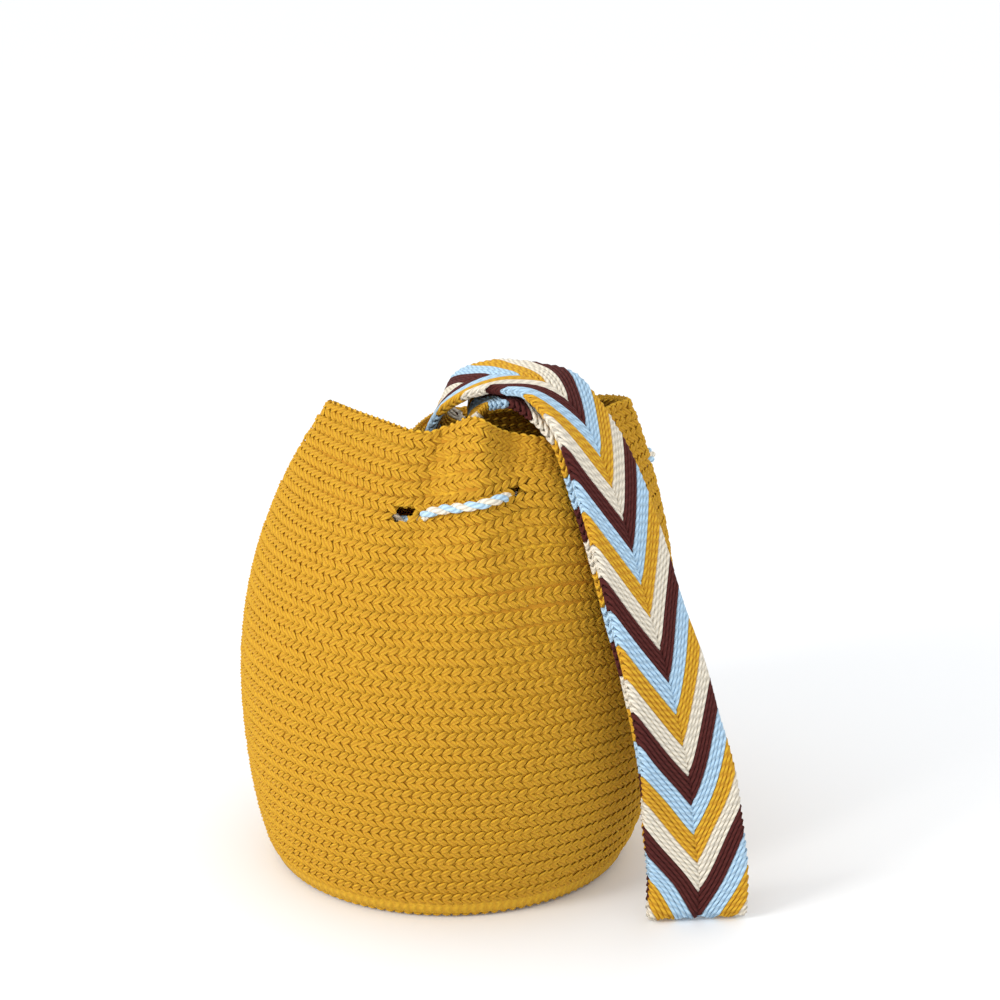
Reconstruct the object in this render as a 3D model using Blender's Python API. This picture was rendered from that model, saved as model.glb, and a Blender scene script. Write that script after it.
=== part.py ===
"""Crochet drawstring shoulder bag with one long woven strap.

Units are metres, +Z is up, the bag's front faces -Y and +X is to its right.  The origin is the
centre of the underside of the round base.  The strap hangs out of the mouth, over the right of
the front, and stands folded on the same surface as the base.
"""
import math

import bmesh
import bpy
import numpy as np
from mathutils import Vector

# Bag, from the base up.
BAG_HEIGHT = 0.279            # front of the rim above the floor
BELLY_RADIUS = 0.131
BELLY_HEIGHT = 0.110
BELLY_SHIFT = 0.007           # the belly leans this far to the right of the base
BASE_PINCH = 0.0245           # how much narrower the foot is than the belly
BASE_CURVE = 1.7
FOOT_RADIUS = 0.103           # edge of the flat underside
FOOT_RISE = 0.010             # height of the rounded edge round the base
WALL = 0.004                  # thickness of the crochet
PROBE_ANGLE = 1.5             # degrees to each side that give the wall's direction at a point
PROBE_LEVEL = 0.02            # levels above and below that do the same
NECK_START = 0.358            # level, as a share of the height, where the mouth starts to draw in
NECK_CURVE = 2.2
PLEAT_LIFT = 0.010            # the pinched pleat stands this much proud of the rim
PLEAT_ANGLE = 2.0
PLEAT_SPREAD = 12.0
GATHER_LIFT = 0.014           # the laced round is drawn up this much to the right of the pleat
GATHER_SPREAD = 0.16
AROUND = 90                   # facets round the bag
LEVELS = 20                   # facets up the wall
BASE_RINGS = (0.45, 0.93)     # rings of the flat underside, as shares of its radius
EDGE_RING = (0.975, 0.975, 0.25)    # the rounded edge below the foot of the wall
CROWN = 0.001                 # rounding of the rim's top

# Rim seen from above: angle round the bag in degrees (0 is the front, 90 the right side), then x, y
# and height in millimetres.  The pleat is at the front and the deepest fold is behind it.
RIM = (
    (-90, -69, 3, 279), (-72, -54, -16, 279), (-54, -37, -36, 279), (-36, -20, -56, 279),
    (-24, -8, -61, 279), (-14, 1, -58, 280), (-4, 11, -67, 281), (5, 21, -76, 281),
    (12, 28, -71, 280), (20, 35, -64, 279), (33, 48, -65, 278), (46, 61, -60, 275),
    (58, 74, -42, 273), (72, 85, -16, 274), (86, 98, 6, 276), (95, 107, 16, 276),
    (106, 103, 31, 274), (124, 86, 46, 270), (146, 54, 64, 262), (166, 20, 70, 257),
    (180, 0, 66, 256), (190, -9, 52, 257), (199, -13, 32, 260), (208, -16, 12, 263),
    (217, -20, -6, 263), (228, -30, -12, 263), (244, -47, -4, 268), (260, -61, 8, 274),
)

# Drawstring and the slots that it is laced through.
CORD_DIAMETER = 0.0055
CORD_CLEAR = 0.0019           # gap between the cord and the crochet that it lies along
SLOT_LEVEL = 0.855
SLOT_LENGTH = 0.024
SLOT_HEIGHT = 0.0090
SLOT_SIDES = 12               # facets of a slot's outline
LACING_STEPS = 400            # points read along the lacing before it is spaced out
CROSSING = 0.020              # length over which the cord passes through a slot
SLOT_ANGLES = (-22.0, 19.0, 98.0, 134.0, 160.0, 176.0, 214.0, 262.0)
TAIL_LENGTH = 0.105
TAIL_CLEAR = 0.0025           # gap between a tail and the wall where it leaves its slot
TAIL_DROP = 0.41              # level that a tail comes down by, before it is cut to length
TAIL_LEAN = (3.0, 5.0)        # degrees away from its slot at once, and more on the way down
TAIL_POINTS = 9
CORD_STEP = 0.0110            # spacing of the points on the cord
KNOT_STANDOFF = 0.0042        # the knot holds the end of a tail this much further off the wall
KNOT_GAP = 0.0003             # between the end of a tail and its knot
KNOT_PROFILE = (              # distance along the knot and its brush of yarn, and radius there
    (0.0, 0.0024), (0.0020, 0.0052), (0.0060, 0.0062), (0.0100, 0.0052), (0.0120, 0.0034),
    (0.0200, 0.0044), (0.0340, 0.0056),
)
KNOT_SIDES = 12

# Strap: centre of the band, then the direction of its width, in millimetres and as a vector.
STRAP_WIDTH = 0.059
STRAP_THICKNESS = 0.0055
STRAP_STEP = 0.010            # longest facet along the band
STRAP_TURN = 0.35             # largest turn of one facet, in radians
EDGE_EASE = 0.002             # width over which the band thins towards its edges
EDGE_THIN = 0.4               # thickness left at the very edge, as a share
FOLD_STEPS = 6                # facets round the fold on the floor
FINE = 1600                   # points read along the band before its facets are chosen
LAYER_SPACING = 0.0068        # from the middle of the front layer to the middle of the rear one
LAYER_SHIFT = 0.005           # the rear layer shows this much past the front one
SEWN_ANGLES = (204.0, 73.5)
SEWN_LEVELS = ((0.900, 0.940, 0.980), (0.930, 0.975))
ARCH = (
    ((-3, 10, 275), (0.1, 1, 0)), ((6, 2, 287), (0.05, 1, 0)), ((23, -7, 296), (0.03, 1, 0)),
    ((42, -17, 299), (0.15, 0.98, 0)), ((62, -36, 297), (0.38, 0.92, 0)),
)
FALL = (
    ((80, -58, 279), (0.56, 0.81, -0.1)), ((92, -72, 253), (0.65, 0.76, -0.06)),
    ((102, -84, 225), (0.69, 0.72, -0.05)), ((114, -99, 184), (0.73, 0.68, -0.05)),
    ((124, -109, 152), (0.80, 0.59, -0.04)), ((132, -114, 118), (0.84, 0.54, -0.01)),
    ((138, -114, 88), (0.94, 0.35, -0.03)), ((141, -112, 61), (0.99, 0.16, 0)),
    ((145, -110, 30), (0.99, 0.1, 0)), ((145, -110, 12), (0.99, 0.1, 0)),
)
RETURN = (
    ((56, -31, 290), (0.38, 0.92, 0)), ((40, -16, 290), (0.15, 0.98, 0)),
    ((26, -9, 286), (0.03, 1, 0)), ((16, -8, 278), (0, 1, 0)), ((15, -8, 268), (0, 1, 0)),
    ((22, -8, 257), (0, 1, 0)), ((38, -9, 247), (0.05, 1, 0)), ((54, -11, 240), (0.18, 0.98, 0)),
    ((71, -13, 237), (0.36, 0.93, 0)),
)
SEWN_GAPS = (0.0042, 0.0092)  # the wall curves behind the flat ends of the band
SEWN_SPAN = 12                # degrees to each side that give the direction of a sewn end


def smooth(value):
    """Ease from 0 to 1."""
    value = min(max(value, 0.0), 1.0)
    return value * value * (3 - 2 * value)


def through(knots, points, at):
    """Read a smooth curve that passes through points at the rising values in knots."""
    i = min(max(int(np.searchsorted(knots, at, side="right")) - 1, 1), len(knots) - 3)
    span = knots[i + 1] - knots[i]
    u = (at - knots[i]) / span
    start = (points[i + 1] - points[i - 1]) / (knots[i + 1] - knots[i - 1]) * span
    end = (points[i + 2] - points[i]) / (knots[i + 2] - knots[i]) * span
    return ((2 * u**3 - 3 * u**2 + 1) * points[i] + (u**3 - 2 * u**2 + u) * start
            + (3 * u**2 - 2 * u**3) * points[i + 1] + (u**3 - u**2) * end)


def rim_table():
    """The rim's angles and points in metres, run on past both ends so that it closes smoothly."""
    angles = [row[0] for row in RIM]
    points = [np.array(row[1:]) / 1000 for row in RIM]
    angles = [a - 360 for a in angles[-2:]] + angles + [a + 360 for a in angles[:3]]
    return np.array(angles, float), points[-2:] + points + points[:3]


RIM_ANGLES, RIM_POINTS = rim_table()


def rim_point(angle):
    """Where the rim is at an angle in degrees."""
    return through(RIM_ANGLES, RIM_POINTS, (angle + 90) % 360 - 90)


def wall_point(angle, level, inward=0.0):
    """A point of the wall's outside, or inward of it; level is 0 at the foot and 1 at the rim."""
    if inward:
        along = wall_point(angle + PROBE_ANGLE, level) - wall_point(angle - PROBE_ANGLE, level)
        above = wall_point(angle, min(level + PROBE_LEVEL, 1.0))
        rise = above - wall_point(angle, max(level - PROBE_LEVEL, 0.0))
        outward = np.cross(along, rise)
        return wall_point(angle, level) - inward * outward / np.linalg.norm(outward)
    rim = rim_point(angle)
    neck = max((level - NECK_START) / (1 - NECK_START), 0.0) ** NECK_CURVE
    height = FOOT_RISE + level * (BAG_HEIGHT - FOOT_RISE)
    share = 1 - min(height / BELLY_HEIGHT, 1.0)
    radius = BELLY_RADIUS - BASE_PINCH * share**BASE_CURVE
    shift = BELLY_SHIFT * smooth(height / BELLY_HEIGHT)
    turn = math.radians(angle)
    x = (1 - neck) * (shift + radius * math.sin(turn)) + neck * rim[0]
    y = (1 - neck) * -radius * math.cos(turn) + neck * rim[1]
    z = height + neck * (rim[2] - BAG_HEIGHT) + rise_over(angle, level)
    return np.array((x, y, z))


def rise_over(angle, level):
    """How far the pinch of the drawstring lifts the rounds: at the pleat, and right of it."""
    turn = angle_from(angle, PLEAT_ANGLE)
    pleat = PLEAT_LIFT * math.exp(-((turn / PLEAT_SPREAD) ** 2)) * smooth((level - 0.85) / 0.13)
    gather = GATHER_LIFT * smooth((turn + 20) / 44) * (1 - smooth((turn - 20) / 45))
    return pleat + gather * math.exp(-(((level - SLOT_LEVEL + 0.01) / GATHER_SPREAD) ** 2)) * (
        1 - smooth((level - 0.88) / 0.12))


def angle_from(angle, middle):
    """Signed difference of two angles in degrees, at most half a turn."""
    return (angle - middle + 180) % 360 - 180


def material(name, color, roughness):
    """A Principled material with one colour and roughness."""
    made = bpy.data.materials.new(name)
    made.use_nodes = True
    shader = made.node_tree.nodes["Principled BSDF"]
    shader.inputs["Base Color"].default_value = (*color, 1)
    shader.inputs["Roughness"].default_value = roughness
    return made


def add_object(name, data, finish):
    """Put a mesh or curve in the scene under a sub-part's name."""
    part = bpy.data.objects.new(name, data)
    bpy.context.scene.collection.objects.link(part)
    data.materials.append(finish)
    return part


def finish_mesh(name, bm, finish):
    """Turn a bmesh into a smooth-shaded object."""
    bmesh.ops.recalc_face_normals(bm, faces=bm.faces)
    mesh = bpy.data.meshes.new(name)
    bm.to_mesh(mesh)
    bm.free()
    mesh.shade_smooth()
    mesh.set_sharp_from_angle(angle=math.radians(50))
    return add_object(name, mesh, finish)


def join_rings(bm, rings):
    """Skin rings of points with quads."""
    loops = [[bm.verts.new(point) for point in ring] for ring in rings]
    count = len(loops[0])
    for low, high in zip(loops, loops[1:]):
        for i in range(count):
            j = (i + 1) % count
            bm.faces.new((low[i], low[j], high[j], high[i]))
    return loops


def foot_ring(angles, share, inward):
    """A ring of the base: share 0 is the middle of the underside and 1 the start of the wall."""
    ring = []
    for angle in angles:
        turn = math.radians(angle)
        wall = wall_point(angle, 0.0)
        reach = FOOT_RADIUS * share if share < 1 else math.hypot(wall[0], wall[1])
        reach -= inward * (share >= 1)
        ring.append((reach * math.sin(turn), -reach * math.cos(turn), inward))
    return ring


def make_bag(finish):
    """The crochet body: round base, wall and rim worked as one piece, with its lacing slots."""
    angles = [i * 360 / AROUND for i in range(AROUND)]
    outside = [foot_ring(angles, share, 0.0) for share in BASE_RINGS]
    outside.append([wall_point(a, 0.0) * EDGE_RING for a in angles])
    outside += [[wall_point(a, i / LEVELS) for a in angles] for i in range(LEVELS + 1)]
    crown = [[wall_point(a, 1.0, WALL / 2) + (0, 0, CROWN) for a in angles]]
    inside = [[wall_point(a, i / LEVELS, WALL) for a in angles] for i in range(LEVELS, -1, -1)]
    inside += [foot_ring(angles, share, WALL) for share in reversed(BASE_RINGS)]
    bm = bmesh.new()
    loops = join_rings(bm, outside + crown + inside)
    bm.faces.new(loops[0])
    bm.faces.new(loops[-1])
    bag = finish_mesh("bag_body", bm, finish)
    for i, angle in enumerate(SLOT_ANGLES):
        cut = bag.modifiers.new(f"slot_{i + 1}", "BOOLEAN")
        cut.operation = "DIFFERENCE"
        cut.object = slot_cutter(f"cut_slot_{i + 1}", angle)
    return bag


def slot_cutter(name, angle):
    """A long round-ended bar through the wall, along the row that the slot is worked in."""
    middle = Vector(wall_point(angle, SLOT_LEVEL, WALL / 2))
    along = Vector(wall_point(angle + 2, SLOT_LEVEL) - wall_point(angle - 2, SLOT_LEVEL)).normalized()
    inner = Vector(wall_point(angle, SLOT_LEVEL, WALL))
    across = (Vector(wall_point(angle, SLOT_LEVEL)) - inner).normalized()
    up = across.cross(along).normalized()
    half = (SLOT_LENGTH - SLOT_HEIGHT) / 2
    outline = []
    for i in range(SLOT_SIDES):
        turn = math.tau * (i + 0.5) / SLOT_SIDES - math.pi / 2
        side = half if math.cos(turn) > 0 else -half
        outline.append((side + SLOT_HEIGHT / 2 * math.cos(turn), SLOT_HEIGHT / 2 * math.sin(turn)))
    bm = bmesh.new()
    depth = 2 * WALL
    rings = [[middle + along * a + up * b + across * d for a, b in outline] for d in (-depth, depth)]
    loops = join_rings(bm, rings)
    bm.faces.new(loops[0])
    bm.faces.new(loops[1])
    cutter = finish_mesh(name, bm, material(name, (0.2, 0.2, 0.2), 0.5))
    cutter.hide_render = True
    cutter.display_type = "WIRE"
    return cutter


def spread(points, step):
    """Points at even distances along a smooth curve through the given ones."""
    points = [np.array(p, float) for p in points]
    ends = [2 * points[0] - points[1]] + points + [2 * points[-1] - points[-2]]
    gaps = [float(np.linalg.norm(b - a)) for a, b in zip(ends, ends[1:])]
    knots = np.concatenate([[0.0], np.cumsum(gaps)])
    count = max(int(round((knots[-2] - knots[1]) / step)), 2)
    return [through(knots, ends, k) for k in np.linspace(knots[1], knots[-2] - 1e-9, count + 1)]


def lacing_points():
    """The drawstring from one back slot, in and out round the bag, to the other back slot."""
    first, last = SLOT_ANGLES[4], SLOT_ANGLES[5] - 360
    outside = -(CORD_DIAMETER / 2 + CORD_CLEAR)
    inside = WALL + CORD_DIAMETER / 2 + CORD_CLEAR
    crossings = sorted((a if a <= first else a - 360) for a in SLOT_ANGLES)
    points = []
    for i in range(LACING_STEPS + 1):
        angle = first + (last - first) * i / LACING_STEPS
        radius = math.hypot(*wall_point(angle, SLOT_LEVEL)[:2])
        depth = outside
        for crossing in reversed(crossings):
            past = math.radians(crossing - angle) * radius / CROSSING + 0.5
            share = smooth(past)
            depth = depth + ((inside + outside) - 2 * depth) * share
        points.append(wall_point(angle, SLOT_LEVEL, depth))
    return points


def tail_points(angle, side):
    """A tail of the drawstring: out of its slot and down the outside of the back wall."""
    points = []
    last = TAIL_POINTS - 1
    for i in range(TAIL_POINTS):
        away = CORD_DIAMETER / 2 + TAIL_CLEAR + KNOT_STANDOFF * smooth(i / (last - 1))
        level = SLOT_LEVEL - TAIL_DROP * i / last
        lean = side * (TAIL_LEAN[0] + TAIL_LEAN[1] * smooth(2 * i / last))
        points.append(wall_point(angle + lean, level, -away))
    return points


def trimmed(points, length):
    """The first stretch of a line of points, cut at a length."""
    kept = [points[0]]
    run = 0.0
    for a, b in zip(points, points[1:]):
        gap = float(np.linalg.norm(b - a))
        if run + gap >= length:
            kept.append(a + (b - a) * (length - run) / gap)
            return kept
        run += gap
        kept.append(b)
    return kept


def make_cord(name, points, finish):
    """A round cord through points, closed at both ends."""
    curve = bpy.data.curves.new(name, "CURVE")
    curve.dimensions = "3D"
    curve.bevel_depth = CORD_DIAMETER / 2
    curve.bevel_resolution = 2
    curve.use_fill_caps = True
    line = curve.splines.new("POLY")
    line.points.add(len(points) - 1)
    for spot, point in zip(line.points, points):
        spot.co = (*point, 1)
    return add_object(name, curve, finish)


def make_knot(name, end, direction, finish):
    """An overhand knot at a cord's end with the short brush of its own yarn below it."""
    axis = Vector(direction).normalized()
    side = axis.orthogonal().normalized()
    other = axis.cross(side)
    start = Vector(end) + axis * KNOT_GAP
    turns = [math.tau * i / KNOT_SIDES for i in range(KNOT_SIDES)]
    rings = []
    for run, radius in KNOT_PROFILE:
        middle = start + axis * run
        rings.append([middle + (side * math.cos(t) + other * math.sin(t)) * radius for t in turns])
    bm = bmesh.new()
    loops = join_rings(bm, rings)
    bm.faces.new(loops[0])
    bm.faces.new(loops[-1])
    return finish_mesh(name, bm, finish)


def unit(vector):
    """A vector's direction."""
    return vector / np.linalg.norm(vector)


def sewn_stations(end):
    """Stations of the band where one end lies against the inside of the wall below the rim."""
    angle, levels = SEWN_ANGLES[end], SEWN_LEVELS[end]
    depth = WALL + STRAP_THICKNESS / 2 + SEWN_GAPS[end]
    made = []
    for level in levels:
        along = wall_point(angle - SEWN_SPAN, level) - wall_point(angle + SEWN_SPAN, level)
        made.append((wall_point(angle, level, depth), unit(along)))
    return made


def metres(rows):
    """A route's centres in metres and its width directions."""
    return [(np.array(centre) / 1000, unit(np.array(across, float))) for centre, across in rows]


def strap_stations():
    """Centre and width direction of the band from one sewn end to the other."""
    fall = metres(FALL)
    rear = []
    for i in range(len(fall) - 1):
        centre, across = fall[i]
        travel = unit(fall[i + 1][0] - centre)
        normal = unit(np.cross(across, travel))
        normal = normal if normal[1] > 0 else -normal
        shift = LAYER_SHIFT * smooth((len(fall) - 2 - i) / 3)
        rear.append((centre + normal * LAYER_SPACING - across * shift, across))
    turn = STRAP_THICKNESS / 2 + LAYER_SPACING / 2
    low, across = fall[-1]
    behind = unit(np.cross((0, 0, 1), across))
    fold = []
    for i in range(FOLD_STEPS + 1):
        angle = math.pi * i / FOLD_STEPS
        reach = LAYER_SPACING / 2 * (1 - math.cos(angle))
        drop = LAYER_SPACING / 2 * math.sin(angle)
        fold.append(((low[0], low[1], turn - drop) + behind * reach, across))
    left = sewn_stations(0)
    right = [(c, -w) for c, w in sewn_stations(1)]
    return left + metres(ARCH) + fall[:-1] + fold + rear[::-1] + metres(RETURN) + right


def strap_sections():
    """Sections of the band: corner points of a flat bar with eased edges, closer at its bends."""
    stations = strap_stations()
    centres = [c for c, _ in stations]
    ends = [2 * centres[0] - centres[1]] + centres + [2 * centres[-1] - centres[-2]]
    widths = [stations[0][1]] + [w for _, w in stations] + [stations[-1][1]]
    gaps = [float(np.linalg.norm(b - a)) for a, b in zip(ends, ends[1:])]
    knots = np.concatenate([[0.0], np.cumsum(gaps)])
    fine = np.linspace(knots[1], knots[-2] - 1e-9, FINE)
    line = np.array([through(knots, ends, k) for k in fine])
    sides = np.array([through(knots, widths, k) for k in fine])
    bend = np.gradient(line, axis=0)
    bend /= np.linalg.norm(bend, axis=1)[:, None]
    turning = np.linalg.norm(np.gradient(bend, axis=0), axis=1)
    run = np.linalg.norm(np.gradient(line, axis=0), axis=1)
    effort = np.cumsum(run / STRAP_STEP + turning / STRAP_TURN)
    picks = np.searchsorted(effort, np.linspace(effort[0], effort[-1], int(effort[-1]) + 1))
    sections = []
    half, thin = STRAP_WIDTH / 2, STRAP_THICKNESS / 2
    flat, low = half - EDGE_EASE, thin * EDGE_THIN
    outline = ((half, low), (flat, thin), (0, thin), (-flat, thin), (-half, low),
               (-half, -low), (-flat, -thin), (0, -thin), (flat, -thin), (half, -low))
    for i in np.unique(np.clip(picks, 0, len(fine) - 1)):
        travel = bend[i]
        across = unit(sides[i] - travel * np.dot(sides[i], travel))
        normal = np.cross(travel, across)
        sections.append([line[i] + across * a + normal * b for a, b in outline])
    return sections


def make_strap(finish):
    """The woven band as one bar swept along its path, with eased edges."""
    bm = bmesh.new()
    loops = join_rings(bm, strap_sections())
    bm.faces.new(loops[0])
    bm.faces.new(loops[-1])
    return finish_mesh("strap", bm, finish)


def clear_scene():
    """Remove what the file opened with."""
    for old in list(bpy.data.objects):
        bpy.data.objects.remove(old, do_unlink=True)


def main():
    """Build every sub-part."""
    clear_scene()
    make_bag(material("mustard_crochet", (0.62, 0.33, 0.035), 0.9))
    make_strap(material("woven_band", (0.62, 0.60, 0.55), 0.85))
    cord = material("twisted_cord", (0.55, 0.66, 0.78), 0.85)
    make_cord("drawstring", spread(lacing_points(), CORD_STEP), cord)
    for word, angle, side in (("left", SLOT_ANGLES[5], 1), ("right", SLOT_ANGLES[4], -1)):
        line = trimmed(spread(tail_points(angle, side), CORD_STEP), TAIL_LENGTH)
        make_cord(f"drawstring_tail_{word}", line, cord)
        make_knot(f"drawstring_knot_{word}", line[-1], line[-1] - line[-2], cord)


main()
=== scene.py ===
"""The looks of a mustard crochet mochila bag: stitches, woven chevron strap and laced cord."""
import math

import bmesh
import bpy
import numpy as np
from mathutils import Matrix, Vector


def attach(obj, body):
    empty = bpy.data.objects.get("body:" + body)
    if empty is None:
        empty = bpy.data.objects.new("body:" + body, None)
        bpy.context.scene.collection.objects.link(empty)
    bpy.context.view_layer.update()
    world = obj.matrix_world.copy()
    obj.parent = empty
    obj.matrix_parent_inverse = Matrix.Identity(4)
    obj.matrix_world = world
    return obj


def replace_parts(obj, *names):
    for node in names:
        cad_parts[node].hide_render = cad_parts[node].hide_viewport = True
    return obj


bl_info = {
    "name": "Mochila Bag",
    "version": (1, 0, 0),
    "blender": (4, 5, 0),
    "location": "View3D > Sidebar > Mochila",
    "description": "Builds a crochet drawstring bag with a woven shoulder strap",
    "category": "Add Mesh",
}

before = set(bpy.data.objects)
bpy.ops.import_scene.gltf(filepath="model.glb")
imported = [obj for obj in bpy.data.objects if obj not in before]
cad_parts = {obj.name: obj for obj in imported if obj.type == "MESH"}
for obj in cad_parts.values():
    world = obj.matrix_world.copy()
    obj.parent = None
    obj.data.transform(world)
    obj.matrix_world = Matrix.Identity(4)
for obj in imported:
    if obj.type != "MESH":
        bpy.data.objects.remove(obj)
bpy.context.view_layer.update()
BODY = "root"

# Crochet body, as its construction gives it.
BAG_HEIGHT = 0.279
BELLY_RADIUS = 0.131
BELLY_HEIGHT = 0.110
BELLY_SHIFT = 0.007
BASE_PINCH = 0.0245
BASE_CURVE = 1.7
FOOT_RADIUS = 0.103
FOOT_RISE = 0.010
WALL = 0.004
NECK_START = 0.358
NECK_CURVE = 2.2
PLEAT_LIFT = 0.010
PLEAT_ANGLE = 2.0
PLEAT_SPREAD = 12.0
GATHER_LIFT = 0.014
GATHER_SPREAD = 0.16
RIM = (
    (-90, -69, 3, 279), (-72, -54, -16, 279), (-54, -37, -36, 279), (-36, -20, -56, 279),
    (-24, -8, -61, 279), (-14, 1, -58, 280), (-4, 11, -67, 281), (5, 21, -76, 281),
    (12, 28, -71, 280), (20, 35, -64, 279), (33, 48, -65, 278), (46, 61, -60, 275),
    (58, 74, -42, 273), (72, 85, -16, 274), (86, 98, 6, 276), (95, 107, 16, 276),
    (106, 103, 31, 274), (124, 86, 46, 270), (146, 54, 64, 262), (166, 20, 70, 257),
    (180, 0, 66, 256), (190, -9, 52, 257), (199, -13, 32, 260), (208, -16, 12, 263),
    (217, -20, -6, 263), (228, -30, -12, 263), (244, -47, -4, 268), (260, -61, 8, 274),
)
PROBE_ANGLE = 1.5              # steps over which the wall's directions are measured
PROBE_LEVEL = 0.02

# Drawstring.
CORD_DIAMETER = 0.0055
CORD_CLEAR = 0.0019
SLOT_LEVEL = 0.855
SLOT_ANGLES = (-22.0, 19.0, 98.0, 134.0, 160.0, 176.0, 214.0, 262.0)
CROSSING = 0.020
TAIL_LENGTH = 0.105
KNOT_RADIUS = 0.0062
KNOT_STANDOFF = 0.0042
BRUSH_LENGTH = 0.022
TAIL_DROP = 0.41               # levels that a tail hangs down the wall
TAIL_STEPS = 8
TAIL_CLEAR = 0.0006
TAIL_LEAN = (3.0, 5.0)         # degrees a tail leans away at its slot, and further down

# Strap.
STRAP_THICKNESS = 0.0055
LAYER_SPACING = 0.0068
LAYER_SHIFT = -0.0026         # the rear layer hides behind the front one
SEWN_ANGLES = (204.0, 73.5)
SEWN_LEVELS = ((0.900, 0.940, 0.980), (0.930, 0.975))
SEWN_GAPS = (0.0042, 0.0092)
SEWN_SPAN = 12.0
FOLD_STEPS = 6
FINE = 3000                    # points of the finely divided route
ARCH = (
    ((-3, 10, 275), (0.1, 1, 0)), ((6, 2, 287), (0.05, 1, 0)), ((23, -7, 296), (0.03, 1, 0)),
    ((42, -17, 299), (0.15, 0.98, 0)), ((62, -36, 297), (0.38, 0.92, 0)),
)
FALL = (
    ((80, -58, 279), (0.56, 0.81, -0.1)), ((92, -72, 253), (0.65, 0.76, -0.06)),
    ((102, -84, 225), (0.69, 0.72, -0.05)), ((114, -99, 184), (0.73, 0.68, -0.05)),
    ((124, -109, 152), (0.80, 0.59, -0.04)), ((132, -114, 118), (0.84, 0.54, -0.01)),
    ((138, -114, 88), (0.94, 0.35, -0.03)), ((141, -112, 61), (0.99, 0.16, 0)),
    ((145, -110, 30), (0.99, 0.1, 0)), ((145, -110, 12), (0.99, 0.1, 0)),
)
RETURN = (
    ((56, -31, 290), (0.38, 0.92, 0)), ((40, -16, 290), (0.15, 0.98, 0)),
    ((26, -9, 286), (0.03, 1, 0)), ((16, -8, 278), (0, 1, 0)), ((15, -8, 268), (0, 1, 0)),
    ((22, -8, 257), (0, 1, 0)), ((38, -9, 247), (0.05, 1, 0)), ((54, -11, 240), (0.18, 0.98, 0)),
    ((71, -13, 237), (0.36, 0.93, 0)),
)

# A leg's section, as angles in degrees and shares of its half width: two plies, with a groove.
LEG_SECTION = ((0, 0.95), (52, 1.10), (90, 0.40), (128, 1.10), (180, 0.95), (270, 0.5))
LEG_TWIST = 50                # degrees that the two plies turn over the length of a leg
LEG_RINGS = 4
BASE_LEG_RINGS = 3

# Stitches. A leg is its length, width, thickness and lean in degrees, then how far it is moved
# along the round, up the wall (as a share of a round) and outward.
LEGS = ((0.0078, 0.0039, 0.0030, 35, 0.0000, 0.25, 0.00030),
        (0.0088, 0.0042, 0.0027, -35, 0.0004, -0.20, -0.00010))
BASE_LEGS = ((0.0064, 0.0036, 0.0026, 36, 0.0, 0.24, 0.0),
             (0.0064, 0.0036, 0.0026, -40, 0.0, -0.20, 0.0))
RIM_LEGS = ((0.0064, 0.0026, 0.0030, 28, 0.0, 0.0, 0.0), (0.0064, 0.0026, 0.0030, -28, 0.0, 0.0, 0.0))
RIM_PITCH = 0.0052            # distance from stitch to stitch along the rim
RIM_APART = 0.0011            # half the distance between the rim's two rows of legs
RIM_RISE = 0.0006             # how far the rim's legs stand above its edge
SEAM_LEG = (0.0085, 0.0026, 0.0026, 14, 0.0, 0.0, 0.0)
SEAM_STITCHES = 12
SEAM_HALF = 0.025             # half the length of a row of seam stitches
SEAM_END = 0.006              # from the strap's end to the first row
SEAM_ROWS = (0.0, 0.007)
INSIDE_POINT = (0.02, -0.005, 0.25)    # a place in the mouth, which both seams face
TONE_SPREAD = 0.16            # how unevenly the yarn took the dye
# How far each slot is free of stitches, from its own middle to the left and to the right.
SLOT_SPANS = ((-0.013, 0.0065), (-0.003, 0.000), (-0.011, 0.011), (-0.011, 0.011), (-0.011, 0.011),
              (-0.011, 0.011), (-0.011, 0.011), (-0.011, 0.011))
SLOT_OPEN = 0.0029            # half height of a slot, clear of stitches
SPIRAL = 0.37                 # stitches that each round is shifted by
SHELL_INSET = 0.0004          # how far the shell lies below the wall's outside
SHELL_ROUNDS = 31             # rounds drawn on the shell that the stitches stand on
BASE_SINK = 0.0014            # height of the base's shell, above the stitches that it stands on
BASE_ROUNDS = 12
INSIDE_FROM = 0.62            # share of the rounds above which there are stitches inside too
STITCH_PIECES = (("lower", 0, 0.3), ("middle", 0.3, 0.6), ("upper", 0.6, 1))

# Strands of the strap.
STRANDS = 4                   # strands of each colour in a chevron
COLOUR_ORDER = (1, 2, 3, 0)   # light blue, mustard, cream, maroon
STRAND_TWISTS = 11            # twists of the yarn from the middle line to the edge
ARM_RINGS = 14
ARM_SIDES = 6
EDGE_ROLL = 0.0015            # radius by which a strand turns over the edge
CORE_HALF = 0.0009            # half the thickness of the hidden middle sheet
CORE_RINGS = 260
CORE_SIDES = 12
CORE_TURN = 0.18              # bend in radians, and length of straight run, that one ring is given to
CORE_STEP = 0.006
MID_DIVE = 0.0016             # how far the strands sink at the middle line
MID_REACH = 0.0032            # distance from the middle line over which they sink

# Plies of the drawstring.
CROSSING_MOVES = {-22.0: 0.009, 19.0: -0.006}    # the cord keeps to the inner ends of two slots
CORD_SAG = 0.0035             # how far the cord hangs down just right of the first slot
SAG_AT = 0.006
SAG_REACH = 0.011
ROUTE_STEP = 0.011            # step of the cord's route, and of the plies along it
PLY_STEP = 0.0016
PLY_RADIUS = 0.0018
PLY_OFFSET = 0.0012           # from the cord's middle to the middle of each ply
CORD_TWISTS = 160             # twists of the yarn within a ply, over the whole length
LACE_TURN = 0.6
KNOT_SPREAD = 0.0013          # size of the knot's loops
KNOT_CORD = 0.0021            # radius of the cord in the knot
BRUSH_ENDS = 16
BRUSH_RADIUS = 0.0008

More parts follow.
